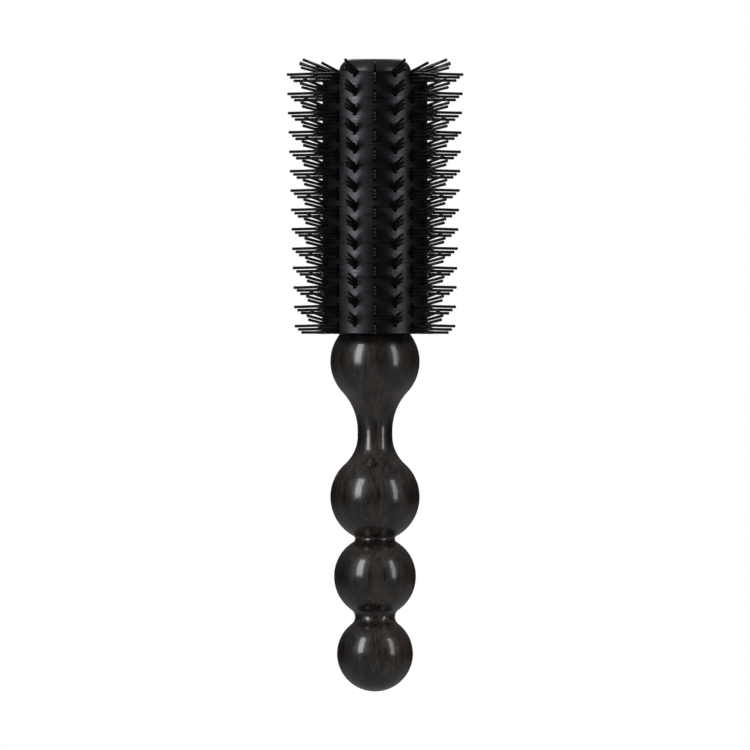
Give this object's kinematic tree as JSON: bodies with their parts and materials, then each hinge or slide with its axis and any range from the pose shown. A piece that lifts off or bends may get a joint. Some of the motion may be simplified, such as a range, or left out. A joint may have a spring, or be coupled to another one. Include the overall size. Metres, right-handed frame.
{
  "type": "round barrel brush",
  "caption": "Round hair brush: slotted cylindrical barrel with rows of ball-tipped pins, a flat-topped cap and a turned handle of round beads with a narrow waist.",
  "frame": {"origin": "lowest point of the handle's end bead, on the brush's long axis", "axes": "+Z along the brush from the handle's free end to the barrel's cap; +X through the first column of level pins"},
  "size_m": [0.0732, 0.0732, 0.2615],
  "materials": {
    "handle_wood": "turned beech, ebonised black, clear gloss lacquer",
    "insert_brass": "machined",
    "fastener_steel": "zinc plated",
    "moulded_black": "injection moulded, fine texture",
    "barrel_aluminium": "black anodised, satin",
    "pin_nylon": "moulded nylon, semi-gloss",
    "cap_black": "injection moulded, satin"
  },
  "bodies": {
    "root": {"handle": "handle_wood", "threaded_insert": "insert_brass", "anti_turn_dowels": "fastener_steel", "base_hub": "moulded_black", "strip_core": "moulded_black", "barrel_tube": "barrel_aluminium", "top_hub": "moulded_black", "tie_rod": "fastener_steel", "washer": "fastener_steel", "nut": "fastener_steel", "end_cap": "cap_black", "straight_pin_strip_01": "pin_nylon", "straight_pin_strip_02": "pin_nylon", "straight_pin_strip_03": "pin_nylon", "straight_pin_strip_04": "pin_nylon", "straight_pin_strip_05": "pin_nylon", "straight_pin_strip_06": "pin_nylon", "straight_pin_strip_07": "pin_nylon", "straight_pin_strip_08": "pin_nylon", "leaning_pin_strip_01": "pin_nylon", "leaning_pin_strip_02": "pin_nylon", "leaning_pin_strip_03": "pin_nylon", "leaning_pin_strip_04": "pin_nylon", "leaning_pin_strip_05": "pin_nylon", "leaning_pin_strip_06": "pin_nylon", "leaning_pin_strip_07": "pin_nylon", "leaning_pin_strip_08": "pin_nylon"}
  },
  "joints": []
}
